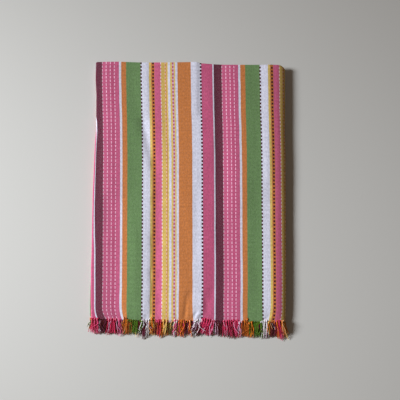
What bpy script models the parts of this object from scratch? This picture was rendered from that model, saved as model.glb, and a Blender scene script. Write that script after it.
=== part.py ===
"""A striped carrying cloth of woven cotton, folded in half across its stripes and then in three along them.

It lies face up, with the crosswise fold at +Y and the knotted fringes of its two ends at -Y. The stripes run
along Y. The origin is under the middle of its box, on the surface that it lies on.

Where a point lies across the cloth is its distance from the tucked selvedge, measured round the folds:
first the tucked third, then the left fold, the face, the right fold and the under third. In each of them
the cloth is double, and both layers are set off from the middle surface between them.
"""

import math

import bpy
import numpy as np

MM = 0.001

# The woven sheet, and the step from one layer of the stack to the next
SHEET = 1.4 * MM
PITCH = 2.3 * MM
LAYER_OFF = PITCH / 2
SKIN_OFF = LAYER_OFF + SHEET / 2

# Heights of the middle surfaces of the doubled thirds
UNDER_Z = SHEET / 2 + 0.5 * PITCH
TUCKED_Z = SHEET / 2 + 2.5 * PITCH
FACE_Z = SHEET / 2 + 4.5 * PITCH

# How far each lengthwise fold bulges sideways, to the middle surface
LEFT_ROUND = 2.3 * MM
RIGHT_ROUND = 12.0 * MM

# How wide the tucked third is
TUCKED_WIDTH = 362 * MM

# The outline from above, in millimetres: place along Y, left fold, right fold, the under third's selvedge
SIDES = (
    (277, -185.2, 194.6, -182.8),
    (237, -186.0, 194.4, -183.8),
    (136, -185.5, 193.4, -184.3),
    (86, -187.9, 194.1, -186.8),
    (-92, -189.9, 193.7, -190.7),
    (-113, -190.5, 193.5, -192.8),
    (-136, -191.0, 193.4, -191.7),
    (-200, -191.7, 192.9, -194.6),
    (-242, -189.3, 191.6, -192.8),
)

# The ends of the cloth, in millimetres: place across it, and Y of the crosswise fold, the outer and inner hem
ENDS = (
    (0, 263.3, -231.0, -229.5),
    (362, 271.3, -232.7, -232.7),
    (370, 272.7, -233.6, -233.6),
    (415, 272.8, -235.2, -235.2),
    (459, 271.5, -236.6, -236.6),
    (519, 271.8, -237.7, -237.7),
    (567, 272.7, -238.7, -238.7),
    (579, 269.9, -238.9, -238.9),
    (602, 267.8, -239.5, -239.5),
    (628, 266.7, -240.3, -240.3),
    (735, 266.3, -241.5, -241.5),
    (749, 258.3, -240.7, -240.7),
    (763, 257.3, -239.0, -239.0),
    (1135, 261.3, -232.7, -231.5),
)

# The face stands this far above its layers, between soft troughs, and more beside the puffed right fold
FACE_PUFF = 1.1 * MM
EDGE_PUFF = 1.3 * MM
EDGE_PUFF_FROM = 92 * MM
LEFT_PUFF_SHARE = 0.35
LEFT_FLAT = 24 * MM

# Troughs of the face, in millimetres: from X, Y to X, Y, depth, half width
TROUGHS = (
    (-90, 199, -75, 95, 1.0, 10),
    (-75, 95, -70, 0, 1.0, 9),
    (-70, 0, -71, -245, 1.0, 9),
    (18, 278, 18, 164, 0.9, 8),
    (5, -186, -6, -236, 0.9, 7),
    (48, -181, 28, -237, 0.8, 8),
)

# Grid lines that follow the long trough down the face, in millimetres: place along Y, the trough's X
SPINE = ((278, -91), (199, -90), (95, -75), (0, -70), (-245, -71))
SHORT_TROUGH_X = 18 * MM
TROUGH_STEP = 10 * MM

# Cells of the cloth's grid
FLAP_CELLS = 8
LEFT_FOLD_CELLS = 6
RIGHT_FOLD_CELLS = 8
WIDE_CELLS = 4
FOLD_CELLS = 5
ROW_SHARES = (0, 0.035, 0.07, 0.12, 0.2, 0.32, 0.45, 0.58, 0.7, 0.8, 0.9, 1)

# The fringe: its strip, and the locks in pairs
STRIP_GAP = 0.45 * MM
STRIP_DEPTH = 3.0 * MM
BUNCHES = 20
LOCK_WIDTH = 4.2 * MM
LOCK_GAP = 1.4 * MM
LOCK_LENGTH = 26 * MM
LOCK_UNEVEN = 2.5 * MM
HIDDEN_SHORTER = 3 * MM
LOCK_TAPER = 0.45
LOCK_DROOP = 0.42
LOCK_SPLAY = 1.9 * MM
LEAST_SPLAY_SHARE = 0.3
BUNCH_SLANT = 1.6 * MM
LEAN_CURVE = 1.4
FACE_STEPS = (0.3, 0.65, 1)
HIDDEN_STEPS = (0.5, 1)
LEFT_FOLD_LOCKS = (3,)
RIGHT_FOLD_LOCKS = (0, 2, 5)

COTTON_ROUGHNESS = 0.85
CLOTH_COLOUR = (0.55, 0.20, 0.16, 1)
OUTER_FRINGE_COLOUR = (0.42, 0.05, 0.10, 1)
INNER_FRINGE_COLOUR = (0.30, 0.04, 0.07, 1)

TUCKED, LEFT_FOLD, FACE, RIGHT_FOLD, UNDER = range(5)


def along(table, place, column):
    """A column of a table in millimetres, read between its rows at a place in metres."""
    rows = np.array(sorted(table)) * MM
    return np.interp(place, rows[:, 0], rows[:, column])


def smooth(share):
    """0 to 1, with no kink at either end."""
    share = np.clip(share, 0, 1)
    return share * share * (3 - 2 * share)


def left_line(y):
    """Where the face meets the left fold."""
    return along(SIDES, y, 1) + LEFT_ROUND + SKIN_OFF


def right_line(y):
    """Where the face meets the right fold."""
    return along(SIDES, y, 2) - RIGHT_ROUND - SKIN_OFF


def under_width(y):
    """The width of the under third, whose selvedge peeks out past the left fold in places."""
    return right_line(y) - along(SIDES, y, 3)


def trough(x, y, x0, y0, x1, y1, depth, half_width):
    """The depth of one soft trough, which runs between two points and fades past them."""
    run = np.array([x1 - x0, y1 - y0])
    share = np.clip(((x - x0) * run[0] + (y - y0) * run[1]) / (run @ run), 0, 1)
    away = np.hypot(x - x0 - share * run[0], y - y0 - share * run[1])
    return depth * np.exp(-((away / half_width) ** 2))


def lift(x, y):
    """How far the face stands above its flat height."""
    from_left = smooth((x - left_line(y)) / LEFT_FLAT)
    to_right = smooth((x - EDGE_PUFF_FROM) / (right_line(y) - EDGE_PUFF_FROM))
    puff = FACE_PUFF * (LEFT_PUFF_SHARE + (1 - LEFT_PUFF_SHARE) * from_left) + EDGE_PUFF * to_right
    dips = [trough(x, y, *(MM * value for value in row)) for row in TROUGHS]
    return puff - np.minimum(np.max(dips, axis=0), puff)


def fold_lengths(y):
    """The length of each part of the middle surface, across the cloth, in the section at y."""
    left, right = left_line(y), right_line(y)
    left_high = (FACE_Z + lift(left, y) - TUCKED_Z) / 2
    right_high = (FACE_Z + lift(right, y) - UNDER_Z) / 2
    half_turn = math.pi * math.sqrt((LEFT_ROUND**2 + left_high**2) / 2)
    other_turn = math.pi * math.sqrt((RIGHT_ROUND**2 + right_high**2) / 2)
    return TUCKED_WIDTH, half_turn, right - left, other_turn, under_width(y)


def middle(part, share, y):
    """A point of the middle surface, as X and Z, and its outward normal, in the section at y."""
    left, right = left_line(y), right_line(y)
    if part == TUCKED:
        return (left + TUCKED_WIDTH * (1 - share), TUCKED_Z), (0, -1)
    if part == FACE:
        x = left + (right - left) * share
        return (x, FACE_Z + lift(x, y)), (0, 1)
    if part == UNDER:
        return (right - under_width(y) * share, UNDER_Z), (0, -1)
    if part == LEFT_FOLD:
        wide, low, edge, angle = LEFT_ROUND, TUCKED_Z, left, -math.pi / 2 - math.pi * share
    else:
        wide, low, edge, angle = RIGHT_ROUND, UNDER_Z, right, math.pi / 2 - math.pi * share
    high = (FACE_Z + lift(edge, y) - low) / 2
    normal = np.array([math.cos(angle) / wide, math.sin(angle) / high])
    normal /= np.linalg.norm(normal)
    return (edge + wide * math.cos(angle), low + high + high * math.sin(angle)), normal


def across(part, share):
    """A point's distance from the tucked selvedge, in the section at the middle."""
    lengths = fold_lengths(0.0)
    return sum(lengths[:part]) + lengths[part] * share


def off_middle(part, share, y, distance):
    """The point that lies the distance outside the middle surface."""
    (x, z), normal = middle(part, share, y)
    return (x + normal[0] * distance, y, z + normal[1] * distance)


def face_shares(y):
    """The face's grid lines in the section at y, as shares of its width, closer together at the troughs."""
    left, right = left_line(y), right_line(y)
    spine = along(SPINE, y, 1)
    stops = (left, spine - TROUGH_STEP, spine, spine + TROUGH_STEP, SHORT_TROUGH_X - TROUGH_STEP,
             SHORT_TROUGH_X, SHORT_TROUGH_X + TROUGH_STEP, EDGE_PUFF_FROM, right)
    counts = (WIDE_CELLS, 1, 1, WIDE_CELLS, 1, 1, 2, WIDE_CELLS)
    runs = [np.linspace(a, b, n, endpoint=False) for a, b, n in zip(stops, stops[1:], counts)]
    return (np.append(np.concatenate(runs), right) - left) / (right - left)


def cloth_columns():
    """The grid lines across the cloth: the part, and the line's number or its share of the part."""
    lines = [(TUCKED, k / FLAP_CELLS) for k in range(FLAP_CELLS)]
    lines += [(LEFT_FOLD, k / LEFT_FOLD_CELLS) for k in range(LEFT_FOLD_CELLS)]
    lines += [(FACE, k) for k in range(len(face_shares(0.0)))]
    lines += [(RIGHT_FOLD, k / RIGHT_FOLD_CELLS) for k in range(1, RIGHT_FOLD_CELLS + 1)]
    return lines + [(UNDER, k / FLAP_CELLS) for k in range(1, FLAP_CELLS + 1)]


def cloth_column(part, place, thickness):
    """The points down one grid line: the outer layer from its hem, the crosswise fold, the inner layer."""
    def at(y, distance):
        share = face_shares(y)[place] if part == FACE else place
        return off_middle(part, share, y, distance)

    nominal = face_shares(0.0)[place] if part == FACE else place
    far = across(part, nominal)
    top, outer_hem, inner_hem = (along(ENDS, far, column) for column in (1, 2, 3))
    bend = top - SKIN_OFF
    radius = LAYER_OFF + thickness
    points = [at(outer_hem + (bend - outer_hem) * share, radius) for share in ROW_SHARES]
    for step in range(1, FOLD_CELLS):
        angle = math.pi * step / FOLD_CELLS
        x, y, z = at(bend, radius * math.cos(angle))
        points.append((x, y + radius * math.sin(angle), z))
    points += [at(inner_hem + (bend - inner_hem) * share, -radius) for share in reversed(ROW_SHARES)]
    return points


def shell_faces(columns, rows):
    """Quads of a thin closed shell on two grids of points, the outer one first, facing out."""
    inner = columns * rows

    def quad(i, j, across_by, up_by):
        a = i * rows + j
        b = (i + across_by) * rows + j + up_by
        return a, b, b + inner, a + inner

    faces = []
    for i in range(columns - 1):
        for j in range(rows - 1):
            a, b = i * rows + j, (i + 1) * rows + j
            faces.append((a, b, b + 1, a + 1))
            faces.append((a + inner, a + 1 + inner, b + 1 + inner, b + inner))
    for j in range(rows - 1):
        faces.append(quad(0, j, 0, 1))
        faces.append(quad(columns - 1, j, 0, 1)[::-1])
    near = [quad(i, 0, 1, 0)[::-1] for i in range(columns - 1)]
    far = [quad(i, rows - 1, 1, 0) for i in range(columns - 1)]
    return faces + far, near


def cloth_shape():
    """The folded cloth as points and faces."""
    lines = cloth_columns()
    outer = [cloth_column(*line, SHEET / 2) for line in lines]
    inner = [cloth_column(*line, -SHEET / 2) for line in lines]
    faces, near = shell_faces(len(lines), len(outer[0]))
    return [point for column in outer + inner for point in column], faces + near


def fringe_stations():
    """The lines across the fringe's strip, and the number of steps of the lock that leaves each cell."""
    lines, locks = [], []
    for part in (TUCKED, LEFT_FOLD, FACE, RIGHT_FOLD, UNDER):
        if part in (LEFT_FOLD, RIGHT_FOLD):
            cells = LEFT_FOLD_CELLS if part == LEFT_FOLD else RIGHT_FOLD_CELLS
            chosen = LEFT_FOLD_LOCKS if part == LEFT_FOLD else RIGHT_FOLD_LOCKS
            lines += [(part, k / cells) for k in range(cells)]
            locks += [HIDDEN_STEPS if k in chosen else None for k in range(cells)]
            continue
        wide = fold_lengths(0.0)[part]
        steps = FACE_STEPS if part == FACE else HIDDEN_STEPS
        pitch = wide / BUNCHES
        margin = (pitch - 2 * LOCK_WIDTH - LOCK_GAP) / 2
        lines.append((part, 0))
        locks.append(None)
        for bunch in range(BUNCHES):
            start = bunch * pitch + margin
            stops = (start, start + LOCK_WIDTH, start + LOCK_WIDTH + LOCK_GAP, start + pitch - 2 * margin)
            lines += [(part, stop / wide) for stop in stops]
            locks += [steps, None, steps, None]
    return lines + [(UNDER, 1)], locks


def sunk(x, y):
    """The share of its height that fringe keeps at a place: all layers sink alike, so none cuts another."""
    left, right = left_line(0.0), right_line(0.0)
    share = min(max((x - left) / (right - left), 0), 1)
    brink = along(ENDS, across(FACE, share), 2) - STRIP_GAP - STRIP_DEPTH
    return 1 - LOCK_DROOP * max((brink - y) / LOCK_LENGTH, 0) ** 2


def add_lock(points, faces, root, steps, length, lean):
    """Draws a lock out of a root quad, towards -Y: it narrows, leans sideways and sinks towards the floor."""
    corners = np.array([points[i] for i in root])
    centre = corners.mean(axis=0)
    ring = root
    for step in steps:
        new = centre + (corners - centre) * (1 - LOCK_TAPER * step)
        new[:, 0] += lean * step**LEAN_CURVE
        new[:, 1] -= length * step
        new[:, 2] = corners[:, 2] * sunk(centre[0], new[0, 1])
        start = len(points)
        points.extend(map(tuple, new))
        next_ring = tuple(range(start, start + 4))
        for k in range(4):
            n = (k + 1) % 4
            faces.append((ring[k], ring[n], next_ring[n], next_ring[k]))
        ring = next_ring
    faces.append(ring)


def fringe_shape(side, hem_column, seed):
    """One end's fringe as points and faces; side is 1 for the outer layer and -1 for the inner one."""
    lines, locks = fringe_stations()
    random = np.random.default_rng(seed)

    def column(part, share, skin):
        hem = along(ENDS, across(part, share), hem_column)
        x, _, z = off_middle(part, share, hem, side * LAYER_OFF + skin)
        return [(x, hem - STRIP_GAP - STRIP_DEPTH, z), (x, hem - STRIP_GAP, z)]

    skins = (SHEET / 2, -SHEET / 2)
    points = [point for skin in skins for line in lines for point in column(*line, skin)]
    faces, near = shell_faces(len(lines), 2)
    paired = 0
    slant = 0.0
    for cell, (root, steps) in enumerate(zip(near, locks)):
        if steps is None:
            faces.append(root)
            continue
        part = lines[cell][0]
        length = LOCK_LENGTH + LOCK_UNEVEN * random.uniform(-1, 1)
        if part != FACE:
            length -= HIDDEN_SHORTER
        if part in (LEFT_FOLD, RIGHT_FOLD):
            add_lock(points, faces, root, steps, length, 0.0)
            continue
        first = paired % 2 == 0
        if first:
            slant = BUNCH_SLANT * random.uniform(-1, 1)
        splay = LOCK_SPLAY * random.uniform(LEAST_SPLAY_SHARE, 1)
        lean = slant - splay if first == (part == FACE) else slant + splay
        add_lock(points, faces, root, steps, length, lean)
        paired += 1
    return points, faces


def cotton(name, colour):
    """A plain matt material for one sub-part."""
    material = bpy.data.materials.new(name)
    material.use_nodes = True
    shader = material.node_tree.nodes["Principled BSDF"]
    shader.inputs["Base Color"].default_value = colour
    shader.inputs["Roughness"].default_value = COTTON_ROUGHNESS
    shader.inputs["Metallic"].default_value = 0
    return material


def add_object(name, shape, colour):
    """Makes a named object from points and faces."""
    mesh = bpy.data.meshes.new(name)
    mesh.from_pydata(shape[0], [], shape[1])
    mesh.validate()
    mesh.shade_smooth()
    mesh.set_sharp_from_angle(angle=math.radians(40))
    mesh.materials.append(cotton(name, colour))
    part = bpy.data.objects.new(name, mesh)
    bpy.context.scene.collection.objects.link(part)
    return part


def main():
    for old in list(bpy.data.objects):
        bpy.data.objects.remove(old)
    add_object("cloth", cloth_shape(), CLOTH_COLOUR)
    add_object("outer_fringe", fringe_shape(1, 2, 11), OUTER_FRINGE_COLOUR)
    add_object("inner_fringe", fringe_shape(-1, 3, 12), INNER_FRINGE_COLOUR)


main()
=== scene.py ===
"""Dresses the folded carrying cloth: woven striped cotton and knotted yarn fringes, on a plain pale floor.

The folds and sizes follow those of the cloth's solids, here in metres, with a finer outline, finer creases
and a rounder right fold. Where a point lies across the cloth is its distance from the tucked selvedge,
measured round the folds: first the tucked third, then the left fold, the face, the right fold and the under
third. In each of them the cloth is double. The stripes have a place of their own, which is 0 near the left
edge of the face's first purple stripe and grows the same way.
"""

import math

import bpy
import numpy as np
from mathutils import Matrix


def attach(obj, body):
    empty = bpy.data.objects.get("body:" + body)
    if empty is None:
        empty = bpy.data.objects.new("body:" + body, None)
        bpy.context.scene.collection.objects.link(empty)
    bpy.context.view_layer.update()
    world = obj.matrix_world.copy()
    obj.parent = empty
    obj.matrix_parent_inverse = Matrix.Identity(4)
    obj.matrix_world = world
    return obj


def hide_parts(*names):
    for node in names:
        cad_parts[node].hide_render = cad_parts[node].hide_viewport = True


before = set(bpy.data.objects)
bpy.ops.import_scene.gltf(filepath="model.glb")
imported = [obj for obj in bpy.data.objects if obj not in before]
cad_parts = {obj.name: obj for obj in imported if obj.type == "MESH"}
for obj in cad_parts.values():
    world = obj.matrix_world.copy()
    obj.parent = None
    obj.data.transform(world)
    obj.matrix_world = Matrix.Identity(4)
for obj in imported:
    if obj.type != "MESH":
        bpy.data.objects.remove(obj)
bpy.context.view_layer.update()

MM = 0.001

# The woven sheet, and the step from one layer of the stack to the next
SHEET = 1.4 * MM
PITCH = 2.3 * MM
LAYER_OFF = PITCH / 2
SKIN_OFF = LAYER_OFF + SHEET / 2

# Heights of the middle surfaces of the doubled thirds
UNDER_Z = SHEET / 2 + 0.5 * PITCH
TUCKED_Z = SHEET / 2 + 2.5 * PITCH
FACE_Z = SHEET / 2 + 4.5 * PITCH

# How far each lengthwise fold bulges sideways, how boxy its curve is, and how wide the tucked third is
LEFT_ROUND = 2.3 * MM
RIGHT_ROUND = 20.0 * MM
FOLD_POWERS = {1: 4.0, 3: 1.7}
TUCKED_WIDTH = 362 * MM

# The outline from above, in millimetres: place along Y, left fold, right fold, the under third's selvedge
SIDES = (
    (277, -183.8, 194.6, -182.4),
    (237, -184.4, 194.4, -182.6),
    (205, -182.6, 194.1, -181.4),
    (134, -182.4, 193.4, -181.2),
    (111, -184.3, 193.7, -183.2),
    (86, -185.4, 194.1, -184.6),
    (40, -186.8, 194.0, -186.0),
    (0, -188.0, 194.0, -187.4),
    (-92, -188.9, 193.7, -189.2),
    (-113, -189.2, 193.5, -190.6),
    (-136, -189.8, 193.4, -190.2),
    (-200, -189.8, 192.9, -192.4),
    (-242, -187.9, 191.6, -191.4),
)

# The ends of the cloth, in millimetres: place across it, and Y of the crosswise fold, the outer and inner hem
ENDS = (
    (0, 263.3, -231.0, -229.5),
    (362, 271.3, -234.3, -232.7),
    (370, 272.7, -235.2, -233.6),
    (415, 272.8, -236.6, -235.2),
    (459, 271.5, -238.0, -236.6),
    (519, 271.8, -238.7, -237.7),
    (567, 272.7, -239.2, -238.7),
    (579, 269.9, -238.9, -238.9),
    (602, 267.8, -239.5, -239.5),
    (628, 266.7, -240.3, -240.3),
    (735, 266.3, -241.5, -241.5),
    (749, 258.3, -240.7, -240.7),
    (763, 257.3, -239.0, -239.0),
    (1135, 261.3, -232.7, -231.5),
)

# The face stands this far above its layers, between soft troughs, and more beside the puffed right fold
FACE_PUFF = 1.1 * MM
EDGE_PUFF = 1.3 * MM
EDGE_PUFF_FROM = 92 * MM
LEFT_PUFF_SHARE = 0.35
LEFT_FLAT = 24 * MM
LOWEST_LIFT = -0.8 * MM

# Troughs of the face, in millimetres: from X, Y to X, Y, depth, half width
TROUGHS = (
    (5, -186, -6, -236, 0.9, 7),
    (48, -181, 28, -237, 0.8, 8),
)

# Creases and ridges of the face, in millimetres: from X, Y to X, Y, height, half width to the left and right
CREASES = (
    (-90, 152, -66, 66, -1.4, 8, 8),
    (-66, 66, -62, -4, -1.2, 7.5, 18),
    (-62, -4, -63, -82, -1.5, 9, 16),
    (-63, -82, -63.5, -150, -1.7, 10, 12.5),
    (-63.5, -150, -63.5, -200, -1.7, 10, 12.5),
    (-63.5, -200, -67, -240, -1.7, 9, 12),
    (-67, -90, -67.5, -238, -0.7, 4, 7),
    (-95, -50, -96, -235, 0.8, 26, 20),
    (-162, 262, -160, 10, 1.0, 10, 26),
    (-138, 262, -138, 25, 1.3, 24, 26),
    (118, 215, 118, 30, 1.6, 40, 42),
    (88, 264, 88, -20, 1.2, 16, 28),
    (100, -20, 100, -235, 0.3, 20, 12),
    (-82, 264, -80, 172, 0.6, 12, 5),
    (-157, -3, -158, -62, -0.25, 6, 6),
    (-103, -70, -103, -185, 0.4, 9, 7),
    (-45, 262, -45, 125, -0.5, 9, 8),
    (24.5, 276, 25.5, 168, -0.75, 6, 12),
    (18, 270, 18, 176, 0.55, 8, 5),
    (50, 258, 50, 110, 0.8, 20, 4.5),
    (50, 110, 50, -90, 0.6, 13, 5),
    (18, 16, 18, -102, -0.4, 8, 8),
    (136, 20, 136, -200, -0.5, 15, 12),
    (160, 262, 160, 40, 1.6, 12, 12),
    (-2, -195, -6, -234, -0.5, 2.5, 2.5),
    (4, -200, -1, -236, 0.4, 3, 3),
    (9, -236, 18, -222, -0.9, 2.2, 2.6),
    (14, -238, 22, -226, 0.7, 2.6, 3),
    (26, -188, 30, -222, 0.4, 3.5, 3.5),
    (34, -192, 41, -226, -0.35, 3, 3),
    (-80, -228, -84, -240, -0.5, 2.5, 2.5),
    (-22, -226, -18, -239, -0.4, 2, 2),
    (150, -238, 160, -228, -0.7, 2.4, 2.4),
    (145, -232, 150, -241, 0.4, 3, 3),
    (-118, -226, -122, -238, 0.5, 3, 3),
    (112, -232, 115, -241, 0.6, 3, 3),
    (60, 190, 66, 40, -0.2, 6, 6),
    (120, -40, 124, -170, 0.2, 8, 8),
)

# Broad swells of the face: length along X and Y in millimetres, turn of the wave, height in millimetres
SWELLS = ((97, 310, 0.4, 0.10), (61, 170, 2.1, 0.07), (41, 131, 4.0, 0.05), (150, 88, 1.2, 0.06))

# Small unevenness of the woven surface: cell along X and Y, and height, in millimetres, then the seed
PUCKERS = ((34, 60, 0.12, 40), (13, 24, 0.05, 41), (6, 9, 0.02, 42))
HEM_PUCKER = (5, 14, 0.28, 50)
UNEVEN_CELLS = 128
HEM_PUCKER_REACH = 16 * MM
HEM_DROOP = 1.9 * MM
HEM_DROOP_REACH = 10 * MM

# How the stripes lie on the face, in millimetres: place along Y, X of their zero
STRIPE_ZERO = ((277, -185.6), (235.9, -185.2), (150, -182.4), (85.7, -181.3), (-92, -180.8), (-170, -180.6),
               (-206.8, -181.1), (-250, -180.8))

# The first purple stripe's left edge strays, in millimetres: place along Y, how far to +X
EDGE_PULL = ((175, 0), (154, 1.1), (130, 2.3), (95, 0.6), (55, 0.1), (16, -0.6), (-30, -1.3), (-75, -0.3),
             (-102, 0.8), (-170, 1.2), (-200, 2.1), (-250, 2.1))
EDGE_PULL_REACH = 13 * MM

# The stripes of the face's right part stray, in millimetres: X, how far to -X
RIGHT_PULL = ((35, 0), (52, -0.2), (66, -0.6), (88, -0.65), (97, 0), (107, 0.4), (145, 0.6), (190, 0.8))

# Near the crosswise fold the stripes spread, in millimetres: place along Y, how far the rightmost lies to +X
TOP_SPREAD = ((277, 1.8), (225, 1.6), (175, 0))

# Painted light: the rose stripes of the second repeat are painted brighter, standing in for the stronger
# light on that part of the face: from and to, in millimetres, and how much brighter
PAINTED_LIGHT_STRIPES = (250.5, 276.8, 0.2)

# The stripes' step on the left fold's upper half, in thousandths of the cloth's own: place along Y, step
LEFT_SLIP = ((277, 350), (180, 400), (165, 1000), (150, 1600), (120, 1700), (60, 1700), (16, 1500),
             (-60, 1000), (-250, 900))

# How much wider the stripes are on the under third
UNDER_STRETCH = 1.025

# Near its lower corners the hem is pulled inwards, in millimetres: place across the stripes, pull to +X
CORNER_PULL = ((-12, 2.5), (1, 6), (8.5, 8.5), (21, 8), (31.5, 6.5), (54, 4), (80, 0), (325, 0), (341, -3),
               (352, -3.4), (364, -2.2), (374, -2.4))
CORNER_PULL_FROM = -211 * MM
CORNER_PULL_DEPTH = 27 * MM

# Where the hem's yarns gather into a knot, in millimetres: X, half width, reach up the cloth, share pulled in
GATHERS = (
    (-122, 6, 14, 0.35),
    (-77, 7, 12, 0.45),
    (-22, 5, 12, 0.5),
    (18, 9, 16, 0.5),
    (44, 9, 12, 0.25),
    (114, 6, 12, 0.35),
    (153, 8, 16, 0.5),
    (180, 6, 12, 0.35),
)

# Picks lie closer together towards the fold, and bow down towards the right
PICK_CRAM = 1.7e-5 / MM
WEFT_BOW = ((0, 0), (110, 0.4), (210, 0.6), (266, 1.1), (330, 2.2), (366, 3.2))

# The colours of the woven stripes, and of the pale cross yarn that shows between them
CLOTH_COLOURS = {
    "purple": (100, 28, 64),
    "rose": (184, 87, 124),
    "light rose": (194, 92, 131),
    "deep rose": (180, 80, 118),
    "wide rose": (188, 85, 124),
    "pink": (207, 99, 139),
    "white": (214, 216, 236),
    "lilac": (214, 172, 204),
    "orange": (198, 123, 68),
    "green": (105, 138, 90),
    "yellow": (220, 191, 108),
    "straw": (212, 181, 100),
    "amber": (201, 143, 86),
    "maroon": (70, 10, 26),
    "pale": (246, 226, 238),
    "pale rose": (232, 176, 204),
    "dusty": (206, 172, 190),
    "blush": (236, 188, 176),
}
WEFT_COLOUR = (196, 190, 200)

# One repeat of the stripes, in millimetres: where each begins, and its colour
STRIPE_REPEAT = 236.2 * MM
STRIPES = (
    (0, "purple"),
    (14.4, "rose"),
    (32.4, "deep rose"),
    (40.7, "light rose"),
    (48.1, "white"),
    (52.45, "orange"),
    (62.1, "green"),
    (91.05, "white"),
    (107.3, "yellow"),
    (111.6, "orange"),
    (118.0, "pink"),
    (130.75, "straw"),
    (138.9, "amber"),
    (141.9, "yellow"),
    (144.5, "white"),
    (149.1, "yellow"),
    (153.0, "lilac"),
    (156.6, "yellow"),
    (159.3, "white"),
    (163.8, "orange"),
    (190.3, "white"),
    (211.1, "wide rose"),
    (232.9, "white"),
    (235.35, "purple"),
)

# Dotted and dashed lines: where each begins and ends in the repeat, in millimetres, its marks' colour, and
# the share of the pitch that a mark takes up
MARKED_LINES = (
    (14.4, 15.7, "dusty", 0.6),
    (21.8, 23.6, "pale rose", 0.66),
    (30.1, 31.8, "pale rose", 0.66),
    (38.2, 39.95, "pale rose", 0.66),
    (90.35, 93.35, "maroon", 0.56),
    (113.6, 117.2, "maroon", 0.56),
    (130.0, 131.4, "pale", 0.55),
    (138.6, 140.3, "blush", 0.58),
    (153.0, 156.1, "rose", 0.55),
    (208.1, 211.6, "maroon", 0.56),
)
MARK_PITCH = 7.29 * MM
MARK_CENTRE = -86.3 * MM

# How far noise shifts the stripes across them, and the marks along them as a share of their pitch, each with
# the size of its cells across and along
STRIPE_STRAY = 0.9 * MM
STRIPE_STRAY_CELL = (30 * MM, 22 * MM)
MARK_STRAY = 0.1
MARK_STRAY_CELL = (3 * MM, 5 * MM)

# The weave: how deep a warp yarn dives, the height below which the weft shows, how strongly, and how much of
# the cloth it covers in all
WARP_PITCH = 0.9 * MM
PICK_PITCH = MARK_PITCH / 6
PICK_DIP = 0.35
WEFT_LOW = 0.12
WEFT_SHARE = 0.33
WEFT_COVER = 0.05

# The weave's painted shade, darker where its yarns dip, by its height as slope and start, and its mottles, in
# millimetres: cell across and along, the noise's detail, range of brightness
WEAVE_SHADE = (0.26, 0.9)
MOTTLES = ((2.6, 4.6, 2.0, 0.8), (1.6, 90, 1.0, 0.3), (45, 3.6, 1.0, 0.24))

# The plies of the fringe's yarns, their twist, and their painted shade, darker in the grooves between the
# plies, by height as slope and start
PLIES = 2
PLY_PITCH = 1.5 * MM
PLY_SHADE = (0.4, 0.72)

# What the materials share
BUMP_DISTANCE = 0.2 * MM
SHEEN_ROUGHNESS = 0.6
SPECULAR = 0.2

# The yarns of the fringe, and which of them each stripe ends in
YARN_COLOURS = {
    "purple": (110, 36, 74),
    "maroon": (94, 14, 22),
    "rose": (214, 66, 118),
    "crimson": (208, 44, 92),
    "pink": (238, 102, 152),
    "white": (232, 230, 236),
    "lilac": (228, 178, 212),
    "orange": (222, 122, 18),
    "brown": (162, 80, 18),
    "green": (84, 124, 18),
    "olive": (96, 92, 18),
    "yellow": (236, 204, 112),
    "peach": (240, 176, 120),
    "brick": (206, 64, 36),
}
YARN_OF_STRIPE = {
    "purple": ("maroon", "purple"),
    "rose": ("crimson", "pink"),
    "light rose": ("crimson", "pink"),
    "deep rose": ("crimson", "lilac"),
    "wide rose": ("crimson", "rose"),
    "pink": ("crimson", "pink"),
    "white": ("white", "lilac"),
    "lilac": ("pink", "white"),
    "orange": ("orange", "brown"),
    "green": ("green", "olive"),
    "yellow": ("yellow", "peach"),
    "straw": ("yellow", "peach"),
    "amber": ("orange", "yellow"),
}

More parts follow.
